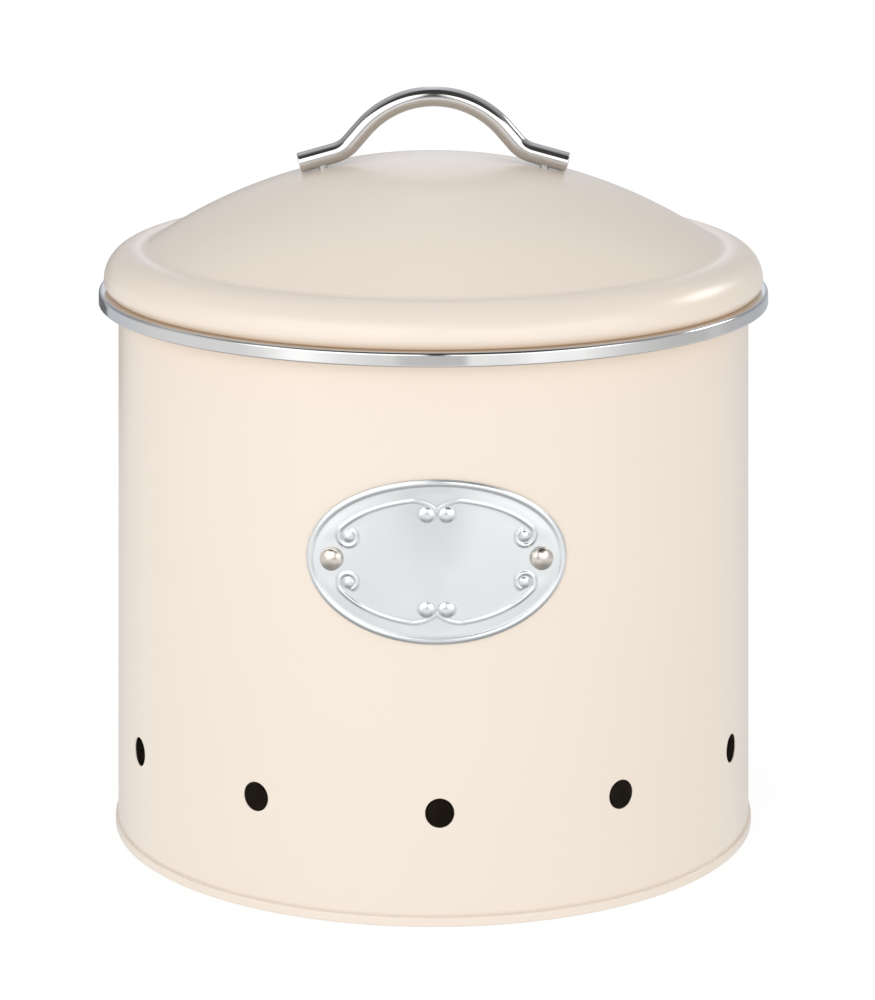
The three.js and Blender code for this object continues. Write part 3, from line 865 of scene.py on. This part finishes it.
def enamel():
    """Satin cream enamel baked on steel: fine orange peel, a slow drift of shade and an uneven gloss."""
    material, tree, shader = new_material("cream_satin_enamel", (0.80, 0.70, 0.58), 0.34)
    where = place(tree)
    drift = spread(tree, noise(tree, where, 7.0, 3), 0, 1)
    shade = blend_colours(tree, drift, (0.815, 0.722, 0.630), (0.800, 0.706, 0.612))
    gloss = spread(tree, noise(tree, where, 55.0, 3), 0.285, 0.33)
    peel = noise(tree, where, 620.0, 2)
    tree.links.new(shade, shader.inputs["Base Color"])
    tree.links.new(gloss, shader.inputs["Roughness"])
    tree.links.new(bump(tree, peel, 0.004, 0.5), shader.inputs["Normal"])
    shader.inputs["Coat Weight"].default_value = 0.25
    shader.inputs["Coat Roughness"].default_value = 0.22
    return material


def polished_trim():
    """Chrome on rolled strip, with faint drawn lines round the ring and a few dull clouds.

    Soft light sees it as a pale glow, in place of what the mirror throws on to the paint beside it.
    """
    material, tree, shader = new_material("polished_trim_chrome", (0.60, 0.60, 0.595), 0.09, 1.0)
    lines = noise(tree, place(tree, (6, 6, 2200)), 1.0, 2)
    clouds = noise(tree, place(tree), 60.0, 3)
    gloss = spread(tree, clouds, 0.06, 0.13)
    tree.links.new(gloss, shader.inputs["Roughness"])
    tree.links.new(bump(tree, lines, 0.004, 0.5), shader.inputs["Normal"])
    passed_on = add_node(tree, "Emission", {"Color": (1.0, 0.74, 0.53, 1), "Strength": 0.62})
    soft_ray = add_node(tree, "LightPath").outputs["Is Diffuse Ray"]
    mixed = add_node(tree, "MixShader", {0: soft_ray, 1: shader.outputs[0], 2: passed_on.outputs[0]})
    tree.links.new(mixed.outputs[0], tree.nodes["Material Output"].inputs["Surface"])
    return material


def pressed_tin():
    """Bright pressed tin plate: fine crystalline grain, and painted shade that darkens the hollows, which are
    also duller than the high spots.
    """
    material, tree, shader = new_material("pressed_label_tin", (0.75, 0.76, 0.765), 0.26, 1.0)
    hollow = add_node(tree, "Attribute", attribute_name="hollow").outputs["Fac"]
    grain = noise(tree, place(tree), 1500.0, 2)
    clouds = noise(tree, place(tree), 120.0, 3)
    # painted shade: the hollow mask darkens the tin's colour in the pressed hollows and along the ridges,
    # where shade falls
    painted_hollow_shade = blend_colours(tree, hollow, (0.70, 0.72, 0.73), (0.50, 0.53, 0.56))
    tree.links.new(painted_hollow_shade, shader.inputs["Base Color"])
    dull = add_node(tree, "Math", {0: spread(tree, clouds, 0.20, 0.27), 1: hollow}, operation="ADD")
    clamped = add_node(tree, "Clamp", {"Value": dull.outputs["Value"], "Min": 0.18, "Max": 0.27})
    tree.links.new(clamped.outputs["Result"], shader.inputs["Roughness"])
    tree.links.new(bump(tree, grain, 0.006, 0.5), shader.inputs["Normal"])
    return material


def rivet_nickel():
    """Warm nickel plate with the fine turned marks of the setting tool."""
    material, tree, shader = new_material("warm_rivet_nickel", (0.62, 0.58, 0.53), 0.2, 1.0)
    clouds = noise(tree, place(tree), 500.0, 3)
    shade = blend_colours(tree, clouds, (0.65, 0.61, 0.56), (0.58, 0.54, 0.49))
    tree.links.new(shade, shader.inputs["Base Color"])
    tree.links.new(spread(tree, clouds, 0.16, 0.26), shader.inputs["Roughness"])
    tree.links.new(bump(tree, noise(tree, place(tree), 1800.0, 2), 0.006, 0.5), shader.inputs["Normal"])
    return material


def handle_chrome():
    """Chrome on a bent rod: near mirror, with a slight ripple from polishing and hair-fine scratches."""
    material, tree, shader = new_material("bent_handle_chrome", (0.60, 0.59, 0.58), 0.07, 1.0)
    ripple = noise(tree, place(tree, (1, 3, 3)), 110.0, 2)
    hairs = noise(tree, place(tree, (30, 1500, 1500)), 1.0, 2)
    tree.links.new(spread(tree, noise(tree, place(tree), 300.0, 3), 0.05, 0.11), shader.inputs["Roughness"])
    soft = bump(tree, ripple, 0.006, 0.6)
    tree.links.new(bump(tree, hairs, 0.003, 0.4, soft), shader.inputs["Normal"])
    return material


def bright_zinc():
    """Zinc plate with its mottled spangle and dull passivation."""
    material, tree, shader = new_material("bright_zinc_plate", (0.72, 0.73, 0.74), 0.34, 1.0)
    spangle = add_node(tree, "TexVoronoi", {"Vector": place(tree), "Scale": 900.0}).outputs["Distance"]
    shade = blend_colours(tree, spangle, (0.80, 0.81, 0.83), (0.60, 0.61, 0.61))
    tree.links.new(shade, shader.inputs["Base Color"])
    tree.links.new(spread(tree, noise(tree, place(tree), 400.0, 3), 0.28, 0.42), shader.inputs["Roughness"])
    tree.links.new(bump(tree, spangle, 0.01, 0.5), shader.inputs["Normal"])
    return material


# ------------------------------ studio and camera

def smooth_share(tree, value, start, end):
    """0 before start and 1 after end, smooth between."""
    inputs = {"Value": value, "From Min": start, "From Max": end}
    return add_node(tree, "MapRange", inputs, interpolation_type="SMOOTHSTEP").outputs["Result"]


def combine(tree, operation, first, second):
    return add_node(tree, "Math", {0: first, 1: second}, operation=operation).outputs["Value"]


def window(tree, value, middle, half, soft):
    """1 within half of the middle, falling to 0 over soft on either side."""
    distance = add_node(tree, "Math", {0: combine(tree, "SUBTRACT", value, middle)}, operation="ABSOLUTE")
    return smooth_share(tree, distance.outputs["Value"], half + soft, half)


# What shiny surfaces mirror, as (degrees round from the front, strength). The right side is positive.
# GROUND ends at GROUND_END, ABOVE_EYE_LEVEL starts at EYE_LEVEL, and CEILING at CEILING_START, in degrees up.
BELOW_EYE_LEVEL = (
    (-180, 0.22), (-151, 0.18), (-148, 0.72), (-130, 0.84), (-115, 0.94), (-100, 1.04), (-68, 1.08),
    (-60, 1.23), (-48, 1.7), (-40, 1.65), (-30, 1.36), (-20, 1.12), (-13.5, 1.06), (-11.5, 0.75),
    (9.5, 0.75), (11.5, 1.27), (23, 1.32), (34, 1.62), (50, 1.54), (58, 1.25), (65, 1.06), (78, 0.86),
    (91, 0.76), (102, 0.75), (110, 0.85), (120, 0.72), (145, 0.64), (180, 0.58),
)
ABOVE_EYE_LEVEL = (
    (-180, 1.3), (-178, 1.2), (-174, 0.75), (-160, 0.5), (-130, 0.45), (-72, 1.1), (-62, 2.2), (-5, 2.1),
    (-1.5, 0.15), (2.5, 0.15), (6, 2.1), (64, 2.2), (74, 0.8), (140, 0.45), (160, 0.52), (172, 0.78),
    (177, 1.2), (180, 1.3),
)
GROUND = (
    (-180, 0.6), (-150, 0.7), (-125, 1.0), (-30, 1.02), (-10, 1.24), (10, 1.24), (30, 1.02), (125, 1.0),
    (150, 0.7), (180, 0.6),
)
CEILING_START = (
    (-180, 48), (-160, 44), (-145, 34), (-110, 34), (-75, 24), (-62, 36), (-16, 40), (0, 36), (10, 30),
    (30, 25), (60, 32), (70, 30), (78, 20), (100, 30), (145, 34), (160, 44), (180, 48),
)
CEILING = (
    (-180, 1.0), (-150, 0.8), (-112, 0.5), (-75, 0.3), (-55, 0.07), (55, 0.07), (75, 0.3), (112, 0.5),
    (150, 0.8), (180, 1.0),
)


BRIGHTEST = 2.5
GROUND_END = (-13.0, -12.2)
GROUND_FADE = (-18.0, -50.0)
FAR_GROUND = 0.45
EYE_LEVEL = (1.0, 4.0)
SIDE_LAMP = 6.0


def around(tree, turn, stops, scale=BRIGHTEST):
    """A value that changes with the turn round the object, between stops of (degrees, value)."""
    share = add_node(tree, "MapRange", {"Value": turn, "From Min": -180.0, "From Max": 180.0})
    ramp = add_node(tree, "ValToRGB", {"Fac": share.outputs["Result"]})
    elements = ramp.color_ramp.elements
    elements.remove(elements[1])
    for i, (degrees, value) in enumerate(stops):
        element = elements[0] if i == 0 else elements.new((degrees + 180) / 360)
        element.position = (degrees + 180) / 360
        element.color = (*[value / scale] * 3, 1)
    return combine(tree, "MULTIPLY", ramp.outputs["Color"], scale)


def mixed_value(tree, share, first, second):
    inputs = {"Value": share, "To Min": first, "To Max": second}
    return add_node(tree, "MapRange", inputs).outputs["Result"]


def studio_world():
    """A white tent. The camera sees it white, and shiny surfaces see its lamps, dark ceiling and dim back."""
    world = bpy.data.worlds.new("studio")
    bpy.context.scene.world = world
    world.use_nodes = True
    tree = world.node_tree
    tree.nodes.clear()
    way = add_node(tree, "TexCoord").outputs["Generated"]
    parts = add_node(tree, "SeparateXYZ", {0: way}).outputs
    front = combine(tree, "MULTIPLY", parts["Y"], -1.0)
    turn = combine(tree, "MULTIPLY", combine(tree, "ARCTAN2", parts["X"], front), 180 / math.pi)
    sine = add_node(tree, "Math", {0: parts["Z"]}, operation="ARCSINE").outputs["Value"]
    rise = combine(tree, "MULTIPLY", sine, 180 / math.pi)
    fading = mixed_value(tree, smooth_share(tree, rise, *GROUND_FADE), 1.0, FAR_GROUND)
    ground = combine(tree, "MULTIPLY", fading, around(tree, turn, GROUND))
    below = around(tree, turn, BELOW_EYE_LEVEL)
    shine = mixed_value(tree, smooth_share(tree, rise, *GROUND_END), ground, below)
    over = around(tree, turn, ABOVE_EYE_LEVEL)
    shine = mixed_value(tree, smooth_share(tree, rise, *EYE_LEVEL), shine, over)
    above = combine(tree, "SUBTRACT", rise, around(tree, turn, CEILING_START, 90.0))
    shine = mixed_value(tree, smooth_share(tree, above, -2.0, 2.0), shine, around(tree, turn, CEILING))
    lamp = combine(tree, "MULTIPLY", window(tree, turn, 117.0, 10.0, 5.0), window(tree, rise, 26.0, 4.0, 4.0))
    shine = combine(tree, "ADD", shine, combine(tree, "MULTIPLY", lamp, SIDE_LAMP))
    away = add_node(tree, "Math", {0: turn}, operation="ABSOLUTE").outputs["Value"]
    cool = blend_colours(tree, smooth_share(tree, away, 110.0, 140.0), (1.0, 1.0, 1.0), (0.93, 0.96, 1.03))
    seen = add_node(tree, "LightPath").outputs
    glossy = add_node(tree, "Background", {"Color": cool, "Strength": shine})
    plain = add_node(tree, "Background", {"Color": (1.0, 0.99, 0.97, 1), "Strength": 0.57})
    white = add_node(tree, "Background", {"Color": (1.0, 1.0, 1.0, 1), "Strength": 1.03})
    lit = add_node(tree, "MixShader", {0: seen["Is Glossy Ray"], 1: plain.outputs[0], 2: glossy.outputs[0]})
    shown = add_node(tree, "MixShader", {0: seen["Is Camera Ray"], 1: lit.outputs[0], 2: white.outputs[0]})
    add_node(tree, "OutputWorld", {"Surface": shown.outputs[0]})


OBJECT_MIDDLE = Vector((0, 0, 0.13))


def softbox(name, where, size, power, tint):
    """A soft area lamp aimed at the object. It isn't itself seen or mirrored."""
    data = bpy.data.lights.new(name, "AREA")
    data.shape = "RECTANGLE"
    data.size, data.size_y = size
    data.energy = power
    data.color = tint
    lamp = bpy.data.objects.new(name, data)
    bpy.context.scene.collection.objects.link(lamp)
    lamp.location = where
    lamp.rotation_mode = "QUATERNION"
    lamp.rotation_quaternion = (OBJECT_MIDDLE - lamp.location).to_track_quat("-Z", "Y")
    lamp.visible_camera = False
    lamp.visible_glossy = False


def floor():
    """A pale floor that keeps a soft contact shadow and fades into the white of the tent."""
    half = 20.0
    corners = [(-half, -half, 0), (half, -half, 0), (half, half, 0), (-half, half, 0)]
    mesh = bpy.data.meshes.new("floor")
    mesh.from_pydata(corners, [], [[0, 1, 2, 3]])
    material, tree, shader = new_material("pale_floor", (0.9, 0.9, 0.9), 0.6)
    looked_at = add_node(tree, "LightPath").outputs["Is Camera Ray"]
    strength = mixed_value(tree, looked_at, 0.90, 1.03)
    warmth = blend_colours(tree, looked_at, (1.0, 0.98, 0.95), (1.0, 1.0, 1.0))
    glow = add_node(tree, "Emission", {"Color": warmth, "Strength": strength})
    coordinates = add_node(tree, "TexCoord").outputs["Object"]
    distance = add_node(tree, "VectorMath", {0: coordinates}, operation="LENGTH").outputs["Value"]
    reach_out = {"Value": distance, "From Min": 0.12, "From Max": 0.35, "To Min": 0.88}
    share = add_node(tree, "MapRange", reach_out).outputs["Result"]
    mixed = add_node(tree, "MixShader", {0: share, 1: shader.outputs[0], 2: glow.outputs[0]})
    tree.links.new(mixed.outputs[0], tree.nodes["Material Output"].inputs["Surface"])
    mesh.materials.append(material)
    ground = bpy.data.objects.new("floor", mesh)
    ground.location.z = -0.0002
    ground.visible_glossy = False
    bpy.context.scene.collection.objects.link(ground)


CAMERA_STAND = Vector((-0.01394, -1.45223, 0.4845))
CAMERA_TURN = math.radians(-0.55)
LENS = 131.25
VIEW_SIDEWAYS = 0.00405
VIEW_DOWN = -0.9045
HALVING_LIFT = 0.33  # lift of the lid, in metres, that halves the lens
VIEW_RISE = 1.47  # how fast the view's middle rises with the lid


def work_out(setting, path, expression, variables):
    """Works a camera setting out from other objects: name to (kind, objects)."""
    driver = setting.driver_add(path).driver
    driver.type = "SCRIPTED"
    for name, (kind, objects) in variables.items():
        variable = driver.variables.new()
        variable.name = name
        variable.type = kind
        for target, thing in zip(variable.targets, objects):
            target.id = thing
            target.transform_type = "LOC_Z"
            target.transform_space = "WORLD_SPACE"
    driver.expression = expression


def camera():
    """A level view camera in front of the bin. Its lens is shifted down, so upright edges stay upright.

    The view widens as the lid is lifted. Away from its stand the camera is a plain one, with no shift.
    """
    data = bpy.data.cameras.new("view_camera")
    data.sensor_width = 36.0
    data.lens = LENS
    viewer = bpy.data.objects.new("view_camera", data)
    viewer.location = CAMERA_STAND
    viewer.rotation_euler = (math.pi / 2, 0, CAMERA_TURN)
    stand = bpy.data.objects.new("camera_stand", None)
    stand.location = CAMERA_STAND
    for thing in (viewer, stand):
        bpy.context.scene.collection.objects.link(thing)
    bpy.context.scene.camera = viewer
    lift = {"lift": ("TRANSFORMS", [frame["bodies"]["lid"]])}
    away = {"away": ("LOC_DIFF", [viewer, stand])}
    widening = f"(1 + lift / {HALVING_LIFT})"
    work_out(data, "lens", f"{LENS} / {widening}", lift)
    work_out(data, "shift_x", f"{VIEW_SIDEWAYS} if away < 0.001 else 0", away)
    down = f"{VIEW_DOWN} * (1 - {VIEW_RISE} * lift) / {widening} if away < 0.001 else 0"
    work_out(data, "shift_y", down, lift | away)


# ------------------------------ the object

def build():
    paint = enamel()
    chrome = polished_trim()
    tin = pressed_tin()
    nickel = rivet_nickel()
    rod = handle_chrome()
    zinc = bright_zinc()
    add_piece("bin_wall", body_shell_shape(), "bin", "cream_enamel", paint, "body_shell")
    add_piece("pressed_base", base_shape(), "bin", "cream_enamel", paint, "base_disc")
    add_piece("mouth_trim", trim_ring_shape(), "bin", "trim_chrome", chrome, "rim_trim_ring")
    shape, hollows = label_shape()
    label = add_piece("oval_label", shape, "bin", "label_tin", tin, "label_plate")
    label.data.attributes.new("hollow", "FLOAT", "POINT").data.foreach_set("value", hollows)
    add_piece("spun_lid", lid_shell_shape(), "lid", "cream_enamel", paint, "lid_shell")
    add_piece("plug_collar", collar_shape(), "lid", "cream_enamel", paint, "lid_collar")
    add_piece("bent_handle", handle_shape(), "lid", "handle_chrome", rod, "handle_bar")
    for side, word in ((-1, "left"), (1, "right")):
        add_piece(f"{word}_rivet", rivet_shape(side), "bin", "rivet_nickel", nickel, f"label_rivet_{word}")
        add_piece(f"{word}_screw", screw_shape(side), "lid", "fastener_zinc", zinc, f"handle_screw_{word}")
        add_piece(f"{word}_washer", washer_shape(side), "lid", "fastener_zinc", zinc, f"handle_washer_{word}")


build()
studio_world()
softbox("front_softbox", (-0.4, -2.4, 1.1), (2.4, 1.6), 21, (0.965, 1.0, 1.06))
softbox("low_softbox", (-0.1, -2.2, 0.12), (2.4, 0.6), 6.8, (1.0, 1.0, 1.0))
softbox("top_softbox", (0.1, -0.1, 2.4), (2.0, 2.0), 4.0, (1.0, 0.93, 0.84))
softbox("right_softbox", (2.0, -0.7, 0.8), (1.2, 1.6), 7.8, (1.0, 0.98, 0.94))
softbox("left_softbox", (-2.0, -0.7, 0.8), (1.2, 1.6), 7.5, (1.0, 0.98, 0.95))
softbox("back_softbox", (0.3, 2.5, 0.9), (2.4, 1.6), 4.8, (1.0, 0.99, 0.97))
floor()
camera()
bpy.context.scene.view_settings.view_transform = "Standard"
